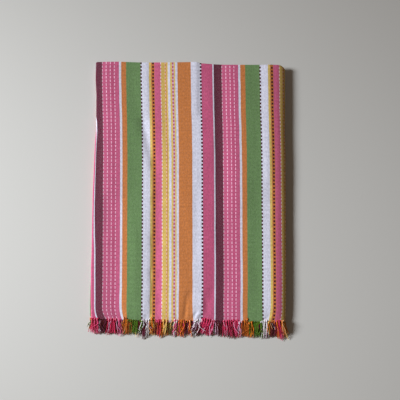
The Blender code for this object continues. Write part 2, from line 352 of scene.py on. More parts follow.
# The bunches that hang from the face's own hem, in millimetres: from X, to X, the tip's X, how far it
# reaches, the yarns' main colour, their other colour, its share, and how far past the hem a knot lies, if any
NO_KNOT = None
# The maroon bunches are partly the dark yarns' own colour and partly painted shade, for the shaded fringes of
# the layers below that show between the bunches
FACE_BUNCHES = (
    (-189, -173, -181, 25, "crimson", "pink", 0.35, 1),
    (-173, -170, -174, 23, "white", "lilac", 0.3, NO_KNOT),
    (-170, -156, -168, 22, "maroon", "purple", 0.15, NO_KNOT),
    (-156, -146, -153, 25, "crimson", "lilac", 0.25, 1),
    (-146, -137, -142, 26, "crimson", "maroon", 0.35, 0),
    (-137, -130, -133, 26, "pink", "lilac", 0.35, 1),
    (-130, -125, -128, 25, "maroon", "peach", 0.25, NO_KNOT),
    (-126, -117, -124, 26, "brown", "orange", 0.45, -4),
    (-118, -109, -115, 25, "brown", "green", 0.35, 0),
    (-109, -97, -103, 24, "green", "green", 0, NO_KNOT),
    (-98, -91, -95, 22, "maroon", "purple", 0.15, NO_KNOT),
    (-91, -86, -96, 23, "white", "green", 0.3, 1),
    (-86, -77, -87, 30, "maroon", "purple", 0.5, NO_KNOT),
    (-79, -72, -82, 28, "white", "white", 0, 0),
    (-72, -67, -68, 27, "orange", "yellow", 0.3, -1),
    (-68, -58, -64, 26, "maroon", "brown", 0.35, NO_KNOT),
    (-58, -50, -57, 28, "crimson", "brick", 0.3, 1),
    (-50, -43, -52, 28, "yellow", "orange", 0.45, 0),
    (-43, -38, -46, 27, "peach", "yellow", 0.4, 1),
    (-39, -27, -32, 25, "olive", "maroon", 0.12, NO_KNOT),
    (-27, -19, -28, 26, "white", "pink", 0.45, 0),
    (-19, -5, -12, 27, "orange", "crimson", 0.3, 2),
    (-5, 1, -1, 25, "maroon", "purple", 0.15, NO_KNOT),
    (1, 8, 4, 27, "peach", "brick", 0.35, 1),
    (8, 14, 10, 21, "maroon", "purple", 0.35, NO_KNOT),
    (13, 21, 9, 25, "white", "lilac", 0.15, -1),
    (20, 27, 18, 28, "maroon", "purple", 0.4, NO_KNOT),
    (27, 36, 23, 20, "crimson", "rose", 0.35, -2),
    (36, 46, 31, 22, "crimson", "rose", 0.35, -3),
    (46, 54, 42, 24, "crimson", "lilac", 0.25, -2),
    (54, 61, 58, 26, "maroon", "lilac", 0.4, NO_KNOT),
    (61, 68, 65, 27, "maroon", "purple", 0.2, NO_KNOT),
    (68, 78, 74, 26, "crimson", "lilac", 0.5, -1),
    (78, 87, 85, 28, "crimson", "maroon", 0.5, -1),
    (87, 99, 93, 27, "crimson", "rose", 0.3, -2),
    (98, 104, 103, 26, "lilac", "white", 0.4, 1),
    (103, 110, 106, 25, "brick", "brown", 0.5, 0),
    (109, 119, 114, 26, "brown", "orange", 0.5, -4),
    (118, 127, 123, 28, "orange", "green", 0.4, 2),
    (127, 137, 137, 27, "green", "green", 0, NO_KNOT),
    (136, 142, 140, 20, "maroon", "purple", 0.2, NO_KNOT),
    (141, 149, 148, 27, "white", "green", 0.3, 0),
    (148, 156, 153, 28, "white", "lilac", 0.15, -1),
    (155, 161, 157, 25, "orange", "yellow", 0.4, 0),
    (160, 172, 167, 25, "maroon", "purple", 0.2, NO_KNOT),
    (171, 177, 177, 28, "orange", "brick", 0.5, 0),
    (175, 182, 185, 30, "crimson", "pink", 0.3, -1),
    (181, 188, 189, 29, "orange", "peach", 0.5, 1),
)

# Single loose yarns of the fringe, in millimetres: from X, tip's X, reach, share of the face's height, colour
LOOSE_YARNS = (
    (-186, -193, 14, 0.75, "green"),
    (-187, -192, 15, 0.7, "olive"),
    (-187, -193, 23, 0.55, "crimson"),
    (-186, -191, 24, 0.5, "pink"),
    (-187, -196, 13, 0.7, "green"),
    (-188, -195, 16, 0.66, "green"),
    (-188, -194, 18, 0.6, "green"),
    (-187, -196, 22, 0.5, "crimson"),
    (-186, -195, 25, 0.45, "crimson"),
    (-105, -103, 30, 0.8, "yellow"),
    (-99, -97, 29, 0.7, "peach"),
    (-88, -78, 17, 1.02, "white"),
    (-89, -97, 25, 1.0, "white"),
    (42, 29, 25, 1.0, "lilac"),
    (46, 45, 29, 1.02, "lilac"),
    (90, 97, 27, 1.0, "pink"),
    (162, 171, 14, 1.02, "white"),
    (173, 175, 31, 0.9, "green"),
    (186, 196, 30, 0.95, "yellow"),
    (187, 193, 31, 0.9, "yellow"),
    (184, 191, 28, 0.8, "peach"),
)

# Frayed ends at the face's hem, and yarns that stray across the bunches, in millimetres: how many, the
# shortest and the longest, how far they lie over the cloth at most, how far their tips stray, height over
# the bunches
FRAYS = (
    (250, 1.5, 4.5, 2.4, 1.4, 0.3),
    (32, 13, 27, 0.6, 5.0, 1.1),
)
FRAY_SEED = 21
FRAY_STEPS = 7
FRAY_RISE = 0.2
FRAY_OTHER_SHARE = 0.5

# The yarns of a bunch, and the ranges of their brightness, length by its reach, and spread by its width
YARNS_IN_BUNCH = 9
YARN_RADIUS = 0.42 * MM
YARN_SIDES = 4
YARN_STEPS = 10
TIP_THINNESS = 0.55
SHADES = (0.82, 1.15)
LENGTHS = (1.008, 1.26)
SPREADS = (0.75, 1.1)
YARN_STRAY = 0.25 * MM
TIP_STRAY = 0.8 * MM

# The bunches of the face: where its width is measured, about how wide they are, how far their reach varies
FACE_HEM_Y = -0.24
BUNCH_WIDTH = 4.8 * MM
REACHES = (0.94, 1.06)
OUTER_SEED = 11
INNER_SEED = 12

# Their knots: how far they stray past the hem, in millimetres, the angle from one yarn to the next, and how
# far before the knot the yarns start and close in
KNOT_RADIUS = 1.15 * MM
KNOT_LENGTH = 2.0 * MM
KNOT_RAISE = 0.9 * MM
KNOT_STRAY = (-1.8, 1.4)
KNOT_TURN = 2.4
NO_KNOT_AT = 5 * MM
START_BEFORE = 3.0 * MM
CLOSE_BEFORE = 1.2 * MM

# The yarn that is wound round a knot
WRAP_TURNS = 2.2
WRAP_STEPS = 15
WRAP_SLANT = 0.8
WRAP_THICKNESS = 1.15

# The bunches of the layers below, with the ranges of their pitch and reach
HIDDEN_YARNS = 7
HIDDEN_OTHER_SHARE = 0.3
HIDDEN_PITCH = 6.4 * MM
HIDDEN_PITCHES = (5.44 * MM, 7.36 * MM)
HIDDEN_REACHES = (20.4 * MM, 26.88 * MM)
HIDDEN_STRAY = 2.0 * MM
FOLD_BUNCH_HALF = 1.2 * MM

# The fringe sinks to the floor by this share of its height, over this reach and a little past it
FRINGE_DROOP = 0.62
FRINGE_REACH = 26 * MM
DROOP_END = 1.2

# The cells of the cloth's mesh: across each part, down the outer layer, round the crosswise fold and down the
# inner layer. Next to the hem some rows of the outer layer lie closer, over this share of it
PART_CELLS = (26, 16, 150, 20, 26)
OUTER_ROWS = 116
FOLD_ROWS = 8
INNER_ROWS = 22
HEM_ROWS = 16
HEM_SHARE = 0.064

# In how many steps a fold's curve is measured, and the angle at which an edge of a mesh is sharp
ARC_STEPS = 25
SHARP_ANGLE = math.radians(50)

# The floor, the lights and the camera
FLOOR_SIZE = 6.0
FLOOR_DROP = 0.3 * MM
FLOOR_COLOUR = (203, 204, 203)
AIM = (0.0242, -0.00355, 0.013)
CAMERA_DISTANCE = 1.0944
CAMERA_TILT = math.radians(3.0)
LENS = 50
SENSOR = 36
KEY_DISTANCE = 3.0
KEY_ELEVATION = math.radians(27)
KEY_TURN = math.radians(12)
KEY_AIM = (0.085, -0.296, 0.0)
KEY_SIZE = 0.9
KEY_SPREAD = math.radians(59)
KEY_POWER = 18.3
KEY_COLOUR = (0.97, 0.99, 1.0)
FILL_STRENGTH = 0.114
FILL_COLOUR = (1.0, 0.74, 0.54)

TUCKED, LEFT_FOLD, FACE, RIGHT_FOLD, UNDER = range(5)


def along(table, place, column=1):
    """A column of a table in millimetres, read between its rows at a place in metres."""
    rows = np.array(sorted(table), dtype=float) * MM
    return np.interp(place, rows[:, 0], rows[:, column])


def smooth(share):
    """0 to 1, with no kink at either end."""
    share = np.clip(share, 0, 1)
    return share * share * (3 - 2 * share)


def linear(colour):
    """A colour in sRGB steps of 255 as linear light, with full alpha."""
    shares = [step / 255 for step in colour]
    return (*(s / 12.92 if s <= 0.04045 else ((s + 0.055) / 1.055) ** 2.4 for s in shares), 1.0)


def left_line(y):
    """Where the face meets the left fold."""
    return along(SIDES, y, 1) + LEFT_ROUND + SKIN_OFF


def right_line(y):
    """Where the face meets the right fold."""
    return along(SIDES, y, 2) - RIGHT_ROUND - SKIN_OFF


def under_width(y):
    """The width of the under third, whose selvedge peeks out past the left fold in places."""
    return right_line(y) - along(SIDES, y, 3)


def face_share(x, y):
    """How far a point lies from the face's left edge to its right one, from 0 to 1."""
    left, right = left_line(y), right_line(y)
    return np.clip((x - left) / (right - left), 0, 1)


def above_hem(x, y):
    """How far up from the outer hem a point of the face lies."""
    return np.maximum(y - along(ENDS, x - left_line(y) + TUCKED_WIDTH, 2), 0)


def groove(x, y, x0, y0, x1, y1, depth, left_width, right_width=None):
    """The depth of one soft groove, which runs between two points and fades past them."""
    run = np.array([x1 - x0, y1 - y0])
    share = np.clip(((x - x0) * run[0] + (y - y0) * run[1]) / (run @ run), 0, 1)
    away_x, away_y = x - x0 - share * run[0], y - y0 - share * run[1]
    half_width = np.where(away_x > 0, right_width or left_width, left_width)
    return depth * np.exp(-((away_x / half_width) ** 2) - (away_y / left_width) ** 2)


def grooves(table, x, y):
    """The depth of each groove of a table in millimetres."""
    return [groove(x, y, *(MM * value for value in row)) for row in table]


def uneven(x, y, cell_x, cell_y, seed):
    """A smooth random height from -1 to 1, with cells of the given size."""
    random = np.random.default_rng(seed)
    knots = random.uniform(-1, 1, (UNEVEN_CELLS, UNEVEN_CELLS))
    i, j = x / (cell_x * MM) + UNEVEN_CELLS // 2, y / (cell_y * MM) + UNEVEN_CELLS // 2
    i0, j0 = np.floor(i).astype(int), np.floor(j).astype(int)
    a, b = smooth(i - i0), smooth(j - j0)
    near = knots[i0, j0] * (1 - b) + knots[i0, j0 + 1] * b
    far = knots[i0 + 1, j0] * (1 - b) + knots[i0 + 1, j0 + 1] * b
    return near * (1 - a) + far * a


def relief(x, y):
    """The finer relief of the face: creases, broad swells and small puckers, which grow near the hem."""
    height = np.sum(grooves(CREASES, x, y), axis=0)
    for long_x, long_y, turn, high in SWELLS:
        height += high * MM * np.sin(2 * np.pi * (x / (long_x * MM) + y / (long_y * MM)) + turn)
    for cell_x, cell_y, high, seed in PUCKERS:
        height += high * MM * uneven(x, y, cell_x, cell_y, seed)
    cell_x, cell_y, high, seed = HEM_PUCKER
    above = above_hem(x, y)
    height += np.exp(-above / HEM_PUCKER_REACH) * high * MM * uneven(x, y, cell_x, cell_y, seed)
    return height - HEM_DROOP * np.exp(-above / HEM_DROOP_REACH)


def lift(x, y):
    """How far the face stands above its flat height."""
    from_left = smooth((x - left_line(y)) / LEFT_FLAT)
    to_right = smooth((x - EDGE_PUFF_FROM) / (right_line(y) - EDGE_PUFF_FROM))
    puff = FACE_PUFF * (LEFT_PUFF_SHARE + (1 - LEFT_PUFF_SHARE) * from_left) + EDGE_PUFF * to_right
    dips = np.max(grooves(TROUGHS, x, y), axis=0)
    return np.maximum(puff - np.minimum(dips, puff) + relief(x, y), LOWEST_LIFT)


def fold_heights(part, y):
    """The lower middle surface that a fold starts from, and half the height that it rises."""
    low = TUCKED_Z if part == LEFT_FOLD else UNDER_Z
    edge = left_line(y) if part == LEFT_FOLD else right_line(y)
    return low, (FACE_Z + lift(edge, y) - low) / 2


def part_lengths():
    """The length of each part of the middle surface, across the cloth, in the section at Y 0."""
    y = np.zeros(1)
    turns = []
    for part, wide in ((LEFT_FOLD, LEFT_ROUND), (RIGHT_FOLD, RIGHT_ROUND)):
        high = fold_heights(part, y)[1]
        turns.append(math.pi * np.sqrt((wide**2 + high**2) / 2))
    lengths = (TUCKED_WIDTH, turns[0], right_line(y) - left_line(y), turns[1], under_width(y))
    return [float(np.sum(length)) for length in lengths]


def rounded(part, angle):
    """A fold's curve at an angle: its place, as shares of its half width and height, and its slopes."""
    power = FOLD_POWERS[part]
    cosine, sine = math.cos(angle), math.sin(angle)
    place = [math.copysign(abs(value) ** (2 / power), value) for value in (cosine, sine)]
    slopes = [math.copysign(abs(value) ** (2 - 2 / power), value) for value in (cosine, sine)]
    return place, slopes


def middle(part, share, y):
    """The middle surface down one grid line, at the places y: its X and Z, and its outward normals."""
    left, right = left_line(y), right_line(y)
    level = np.ones_like(y)
    if part == TUCKED:
        return left + TUCKED_WIDTH * (1 - share), TUCKED_Z * level, 0 * level, -level
    if part == FACE:
        x = left + (right - left) * share
        return x, FACE_Z + lift(x, y), 0 * level, level
    if part == UNDER:
        return right - under_width(y) * share, UNDER_Z * level, 0 * level, -level
    if part == LEFT_FOLD:
        wide, edge, angle = LEFT_ROUND, left, -math.pi / 2 - math.pi * share
    else:
        wide, edge, angle = RIGHT_ROUND, right, math.pi / 2 - math.pi * share
    low, high = fold_heights(part, y)
    (place_x, place_z), (slope_x, slope_z) = rounded(part, angle)
    normal_x, normal_z = slope_x / wide * level, slope_z / high
    size = np.hypot(normal_x, normal_z)
    return edge + wide * place_x, low + high + high * place_z, normal_x / size, normal_z / size


def across(part, share):
    """A point's distance from the tucked selvedge, in the section at Y 0."""
    lengths = part_lengths()
    return sum(lengths[:part]) + lengths[part] * share


def part_at(distance):
    """The part, and the share of it, at a distance from the tucked selvedge."""
    lengths = part_lengths()
    part = 0
    while part < UNDER and distance > lengths[part]:
        distance -= lengths[part]
        part += 1
    return part, min(distance / lengths[part], 1)


def arc_length(part, share, y):
    """How far round a fold's outer skin a point lies, from the end where the share is 0."""
    wide = (LEFT_ROUND if part == LEFT_FOLD else RIGHT_ROUND) + SKIN_OFF
    high = fold_heights(part, y)[1] + SKIN_OFF
    turns = math.pi / 2 - np.linspace(0, math.pi * share, ARC_STEPS)
    places = np.array([rounded(part, turn)[0] for turn in turns])
    x, z = np.outer(wide * places[:, 0], np.ones_like(y)), np.outer(places[:, 1], high)
    return np.hypot(np.diff(x, axis=0), np.diff(z, axis=0)).sum(axis=0)


def face_stripe(x, y):
    """The stripes' place at a point of the face."""
    place = x - along(STRIPE_ZERO, y) + along(RIGHT_PULL, x)
    place = place - along(EDGE_PULL, y) * smooth(1 - place / EDGE_PULL_REACH)
    place = place - along(TOP_SPREAD, y) * face_share(x, y)
    near_hem = np.clip((CORNER_PULL_FROM - y) / CORNER_PULL_DEPTH, 0, 1)
    place = place - along(CORNER_PULL, place) * near_hem**2
    above = above_hem(x, y)
    for gather_x, half_width, reach, share in GATHERS:
        away = (x - gather_x * MM) / (half_width * MM)
        fade = np.exp(-(away**2) - above / (reach * MM))
        place = place + share * away * half_width * MM * fade
    return place


def stripe_place(part, share, y):
    """The stripes' place down one grid line. On the left fold the outline hides what slips round below it."""
    if part == FACE:
        left, right = left_line(y), right_line(y)
        return face_stripe(left + (right - left) * share, y)
    if part in (TUCKED, LEFT_FOLD):
        start, turn = face_stripe(left_line(y), y), arc_length(LEFT_FOLD, 1, y)
        if part == TUCKED:
            return start - turn - TUCKED_WIDTH * (1 - share)
        back, slip = turn - arc_length(LEFT_FOLD, share, y), along(LEFT_SLIP, y)
        return start - np.minimum(back, turn / 2) * slip - np.maximum(back - turn / 2, 0) * (2 - slip)
    start = face_stripe(right_line(y), y)
    if part == RIGHT_FOLD:
        return start + arc_length(RIGHT_FOLD, share, y)
    return start + arc_length(RIGHT_FOLD, 1, y) + under_width(y) * share * UNDER_STRETCH


def grid_lines():
    """The grid lines across the cloth, each as its part and its share of it."""
    lines = []
    for part, cells in enumerate(PART_CELLS):
        lines += [(part, k / cells) for k in range(cells)]
    return lines + [(UNDER, 1)]


def row_shares():
    """How far up from the hem to the crosswise fold each row of the outer layer lies, closer at the hem."""
    close = np.linspace(0, HEM_SHARE, HEM_ROWS, endpoint=False)
    return np.concatenate([close, np.linspace(HEM_SHARE, 1, OUTER_ROWS)])


def cloth_line(part, share, skin):
    """The points down one grid line, so far outside their layer's middle, and their stripes' places."""
    far = across(part, share)
    top, outer_hem, inner_hem = (along(ENDS, far, column) for column in (1, 2, 3))
    bend = top - SKIN_OFF
    radius = LAYER_OFF + skin
    shares = row_shares()
    turns = math.pi * np.arange(1, FOLD_ROWS) / FOLD_ROWS
    back = np.linspace(1, 0, INNER_ROWS)
    y = np.concatenate([outer_hem + (bend - outer_hem) * shares, np.full(len(turns), bend),
                        inner_hem + (bend - inner_hem) * back])
    off = np.concatenate([np.full(len(shares), radius), radius * np.cos(turns), np.full(len(back), -radius)])
    over = np.concatenate([0 * shares, radius * np.sin(turns), 0 * back])
    x, z, normal_x, normal_z = middle(part, share, y)
    points = np.column_stack([x + normal_x * off, y + over, z + normal_z * off])
    past_bend = 2 * bend + math.pi * LAYER_OFF - y[-len(back):]
    warp = np.concatenate([y[:len(shares)], bend + LAYER_OFF * turns, past_bend])
    place = stripe_place(part, share, y)
    warp = warp + PICK_CRAM * warp**2 + along(WEFT_BOW, place)
    return points, np.column_stack([place, warp])


def shell_faces(columns, rows):
    """Quads of a thin closed shell on two grids of points, the outer one first, facing out."""
    inner = columns * rows
    i, j = np.meshgrid(np.arange(columns - 1), np.arange(rows - 1), indexing="ij")
    a, b = (i * rows + j).ravel(), ((i + 1) * rows + j).ravel()
    skins = [np.column_stack([a, b, b + 1, a + 1]), np.column_stack([a, a + 1, b + 1, b]) + [[inner] * 4]]

    def edge(first, second, turned):
        quads = np.column_stack([first, second, second + inner, first + inner])
        return quads[:, ::-1] if turned else quads

    down, side = np.arange(rows - 1), np.arange(columns - 1) * rows
    last = (columns - 1) * rows
    edges = [edge(down, down + 1, False), edge(last + down, last + down + 1, True),
             edge(side, side + rows, True), edge(side + rows - 1, side + 2 * rows - 1, False)]
    return np.concatenate(skins + edges)


def put(name, data):
    """A new object in the scene."""
    thing = bpy.data.objects.new(name, data)
    bpy.context.scene.collection.objects.link(thing)
    return thing


def add_piece(name, points, faces, places, material):
    """Makes a smooth mesh object whose UV map, named weave, holds a place in metres for each point."""
    mesh = bpy.data.meshes.new(name)
    mesh.from_pydata(points.tolist(), [], faces.tolist())
    corner_points = np.empty(len(mesh.loops), dtype=np.int32)
    mesh.loops.foreach_get("vertex_index", corner_points)
    mesh.uv_layers.new(name="weave").data.foreach_set("uv", places[corner_points].astype(np.float32).ravel())
    mesh.shade_smooth()
    mesh.set_sharp_from_angle(angle=SHARP_ANGLE)
    mesh.materials.append(material)
    piece = put(name, mesh)
    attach(piece, "root")
    return piece


def make_cloth(material):
    """The folded sheet, with its stripes' places."""
    lines = grid_lines()
    outer = [cloth_line(*line, SHEET / 2) for line in lines]
    inner = [cloth_line(*line, -SHEET / 2) for line in lines]
    points = np.concatenate([points for points, _ in outer + inner])
    places = np.concatenate([places for _, places in outer + inner])
    cloth = add_piece("striped_cloth", points, shell_faces(len(lines), len(outer[0][0])), places, material)
    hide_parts("cloth")
    return cloth


class Fringe:
    """Collects the yarns of one fringe, then makes them into one piece."""

    def __init__(self, seed):
        self.random = np.random.default_rng(seed)
        self.points, self.faces, self.places, self.colours = [], [], [], []
        self.count = 0

    def tubes(self, paths, radii, colours, beside):
        """Adds a tube along each path, by yarn and step, with a radius for a step and a colour for a yarn."""
        yarns, steps = paths.shape[:2]
        ahead = np.gradient(paths, axis=1)
        side = np.cross(ahead, beside)
        side /= np.linalg.norm(side, axis=2, keepdims=True)
        up = np.cross(side, ahead)
        up /= np.linalg.norm(up, axis=2, keepdims=True)
        around = np.arange(YARN_SIDES) / YARN_SIDES
        turns = 2 * np.pi * around
        ring = side[:, :, None] * np.cos(turns)[:, None] + up[:, :, None] * np.sin(turns)[:, None]
        points = paths[:, :, None] + radii[:, None, None] * ring
        run = np.linalg.norm(np.diff(paths, axis=1), axis=2).cumsum(axis=1)
        run = np.concatenate([np.zeros((yarns, 1)), run], axis=1)
        places = np.stack(np.broadcast_arrays(around, run[:, :, None]), axis=-1)
        numbers = self.count + np.arange(yarns * steps * YARN_SIDES).reshape(yarns, steps, YARN_SIDES)
        after = np.roll(numbers, -1, axis=2)
        walls = np.stack([numbers[:, :-1], after[:, :-1], after[:, 1:], numbers[:, 1:]], axis=-1)
        self.faces += [walls.reshape(-1, 4), numbers[:, 0, ::-1], numbers[:, -1]]
        self.points.append(points.reshape(-1, 3))
        self.places.append(places.reshape(-1, 2))
        self.colours.append(np.repeat(colours, steps * YARN_SIDES, axis=0))
        self.count += points.size // 3

    def make(self, name, node, material):
        """Makes the piece that stands for the CAD node."""
        points = np.concatenate(self.points)
        piece = add_piece(name, points, np.concatenate(self.faces), np.concatenate(self.places), material)
        colours = piece.data.color_attributes.new("yarn_colour", "FLOAT_COLOR", "POINT")
        colours.data.foreach_set("color", np.concatenate(self.colours).astype(np.float32).ravel())
        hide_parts(node)
        return piece


def flow(stops, steps):
    """Smooth paths over the floor, by yarn and step, through stops whose first axis counts them."""
    ends = np.concatenate([2 * stops[:1] - stops[1:2], stops, 2 * stops[-1:] - stops[-2:-1]])
    place = np.linspace(0, len(stops) - 1, steps)
    k = np.minimum(place.astype(int), len(stops) - 2)
    t = (place - k)[:, None, None]
    before, here, there, beyond = ends[k], ends[k + 1], ends[k + 2], ends[k + 3]
    bend = 2 * here + (there - before) * t + (2 * before - 5 * here + 4 * there - beyond) * t**2
    paths = np.swapaxes((bend + (3 * here - before - 3 * there + beyond) * t**3) / 2, 0, 1)
    paths[:, :, 2] = np.maximum(paths[:, :, 2], YARN_RADIUS)
    return paths


def hem_place(part, share, side):
    """The middle of a layer's hem, as X, Y and Z; side is 1 for the outer layer and -1 for the inner one."""
    hem = along(ENDS, across(part, share), 2 if side == 1 else 3)
    x, z, normal_x, normal_z = middle(part, share, np.array([hem]))
    off = side * LAYER_OFF
    return np.array([x[0] + normal_x[0] * off, hem, z[0] + normal_z[0] * off])


def sunk(past_hem):
    """The share of its height that the fringe keeps, this far past the hem."""
    return 1 - FRINGE_DROOP * np.clip(past_hem / FRINGE_REACH, 0, DROOP_END) ** 2


def yarn_shades(random, count, main, other, other_share):
    """A slightly varied colour for each yarn of a bunch."""
    colours = np.array([linear(YARN_COLOURS[main])] * count)
    colours[random.random(count) < other_share] = linear(YARN_COLOURS[other])
    colours[:, :3] *= random.uniform(*SHADES, (count, 1))
    return np.clip(colours, 0, 1)


def add_bunch(fringe, hem, half_width, tip_x, reach, knot, colours):
    """Hangs one bunch of yarns from the hem. They gather in a wrapped knot this far past it, or in none.

    Each stop on their way is its place past the hem, its X, and its height off the fringe's middle.
    """
    random = fringe.random
    count = len(colours)
    knotted = knot is not NO_KNOT
    gather = knot if knotted else NO_KNOT_AT
    order = np.linspace(-1, 1, count)
    turn, away = KNOT_TURN * np.arange(count), KNOT_RADIUS * np.sqrt((np.arange(count) + 0.5) / count)
    around_x, around_z = away * np.cos(turn), away * np.sin(turn)
    raised = KNOT_RAISE if knotted else 0.0
    if not knotted:
        around_x, around_z = order * half_width * 0.85, around_z * 0.5
    lengths = reach * random.uniform(*LENGTHS, count)
    lean = (tip_x - hem[0]) / reach
    fan = order * half_width * random.uniform(*SPREADS) + random.normal(0, TIP_STRAY, count)

    def stop(past, x, off_z):
        past = np.broadcast_to(past, count).astype(float)
        z = hem[2] * sunk(past) + off_z
        return np.column_stack([np.broadcast_to(x, count), hem[1] - past, np.maximum(z, YARN_RADIUS)])

    jitter = random.normal(0, YARN_STRAY, (4, count))
    middle_x = hem[0] + lean * max(gather, 0)
    half_way = gather + (lengths - gather) * 0.5
    closing_x = middle_x + 0.5 * order * half_width + 0.4 * around_x
    stops = [
        stop(gather - START_BEFORE, hem[0] + order * half_width * 0.9, jitter[0] * 0.4 + raised * 0.3),
        stop(gather - CLOSE_BEFORE, closing_x, 0.7 * around_z + raised * 0.9),
        stop(gather, middle_x + around_x, around_z + raised),
        stop(gather + KNOT_LENGTH, middle_x + around_x, around_z + raised * 0.8),
        stop(half_way, hem[0] + lean * half_way + 0.85 * fan + jitter[1] * 5, around_z * 0.6 + jitter[2]),
        stop(lengths, tip_x + 1.15 * fan + jitter[3] * 6, around_z * 0.3 + jitter[1]),
    ]
    paths = flow(np.array(stops), YARN_STEPS)
    radii = np.full(YARN_STEPS, YARN_RADIUS)
    radii[-1] *= TIP_THINNESS
    fringe.tubes(paths, radii, colours, (0, 0, 1))
    if knotted:
        centre = (middle_x, hem[1] - gather - KNOT_LENGTH / 2, hem[2] * sunk(gather) + raised)
        add_wrap(fringe, centre, colours)


def add_wrap(fringe, centre, colours):
    """Winds a yarn round a bunch as its knot."""
    turns = np.linspace(0, 2 * np.pi * WRAP_TURNS, WRAP_STEPS) + fringe.random.uniform(0, 6)
    radius = KNOT_RADIUS + YARN_RADIUS * 0.7
    slant = fringe.random.uniform(-WRAP_SLANT, WRAP_SLANT)
    x = centre[0] + radius * np.cos(turns)
    y = centre[1] + KNOT_LENGTH * np.linspace(0.5, -0.5, WRAP_STEPS) + slant * radius * np.cos(turns)
    z = np.maximum(centre[2] + radius * np.sin(turns), YARN_RADIUS)
    path = np.column_stack([x, y, z])[None]
    fringe.tubes(path, np.full(WRAP_STEPS, YARN_RADIUS * WRAP_THICKNESS), colours[:1], (0, 1, 0))


def add_face_bunches(fringe):
    """The bunches and loose yarns that show on the face's outer layer, placed one by one."""
    random = fringe.random
    for from_x, to_x, tip_x, reach, main, other, share, knot in FACE_BUNCHES:
        parts = max(1, round((to_x - from_x) * MM / BUNCH_WIDTH))
        wide = (to_x - from_x) * MM / parts
        for number in range(parts):
            root_x = from_x * MM + (number + 0.5) * wide
            hem = hem_place(FACE, face_share(root_x, FACE_HEM_Y), 1)
            hem[0] = root_x
            tip = tip_x * MM + (number - (parts - 1) / 2) * wide * 0.9 + random.normal(0, TIP_STRAY)
            knot_at = NO_KNOT if knot is NO_KNOT else (knot + random.uniform(*KNOT_STRAY)) * MM
            shades = yarn_shades(random, YARNS_IN_BUNCH, main, other, share)
            add_bunch(fringe, hem, wide / 2, tip, random.uniform(*REACHES) * reach * MM, knot_at, shades)
    for from_x, tip_x, reach, height, colour in LOOSE_YARNS:
        hem = hem_place(FACE, face_share(from_x * MM, FACE_HEM_Y), 1) * (1, 1, height)
        hem[0] = from_x * MM
        shades = yarn_shades(random, 1, colour, colour, 0)
        add_bunch(fringe, hem, 0.0, tip_x * MM, reach * MM, NO_KNOT, shades)


def yarns_at(part, share, y):
    """The main and the other yarn colour of the stripe at a point of a grid line."""
    place = float(stripe_place(part, share, np.array([y]))[0]) % STRIPE_REPEAT
    stripe = [name for start, name in STRIPES if start * MM <= place][-1]
    return YARN_OF_STRIPE[stripe]


def add_frays(fringe):
    """The frayed ends of the face's hem, and the yarns that stray across its bunches."""
    random = np.random.default_rng(FRAY_SEED)
    for count, shortest, longest, overlap, stray, height in FRAYS:
        stops, colours = [], []
        for share in random.uniform(0, 1, count):
            hem = hem_place(FACE, share, 1)
            colours.append(yarn_shades(random, 1, *yarns_at(FACE, share, hem[1]), FRAY_OTHER_SHARE)[0])
            back, long = random.uniform(0, overlap) * MM, random.uniform(shortest, longest) * MM
            aside = random.normal(0, stray, 2) * MM
            tip = (aside[0], -long, height * MM - hem[2] * (1 - sunk(long)))
            over = height * MM + SHEET / 2
            half_way = (aside[1] * 0.5, -long * 0.5, over - hem[2] * (1 - sunk(long / 2)))
            start = (0, back, SHEET / 2 + FRAY_RISE * back)
            stops.append([hem + place for place in (start, half_way, tip)])
        paths = flow(np.swapaxes(np.array(stops), 0, 1), FRAY_STEPS)
        fringe.tubes(paths, np.full(FRAY_STEPS, YARN_RADIUS), np.array(colours), (0, 0, 1))


def add_plain_bunches(fringe, side):
    """The bunches of the layers below, in the colours of the stripes that they continue."""
    random = fringe.random
    total = across(UNDER, 1)
    distance = HIDDEN_PITCH / 2
    while distance < total:
        part, share = part_at(distance)
        if not (part == FACE and side == 1):
            hem = hem_place(part, share, side)
            colours = yarns_at(part, share, hem[1])
            shades = yarn_shades(random, HIDDEN_YARNS, *colours, HIDDEN_OTHER_SHARE)
            tip_x = hem[0] + random.normal(0, HIDDEN_STRAY)
            half_width = HIDDEN_PITCH / 2 if part in (TUCKED, FACE, UNDER) else FOLD_BUNCH_HALF
            add_bunch(fringe, hem, half_width, tip_x, random.uniform(*HIDDEN_REACHES), NO_KNOT, shades)
        distance += random.uniform(*HIDDEN_PITCHES)


def make_fringe(name, node, side, seed, material):
    """One end's fringe: side is 1 for the outer layer and -1 for the inner one."""
    fringe = Fringe(seed)
    if side == 1:
        add_face_bunches(fringe)
        add_frays(fringe)
    add_plain_bunches(fringe, side)
    return fringe.make(name, node, material)


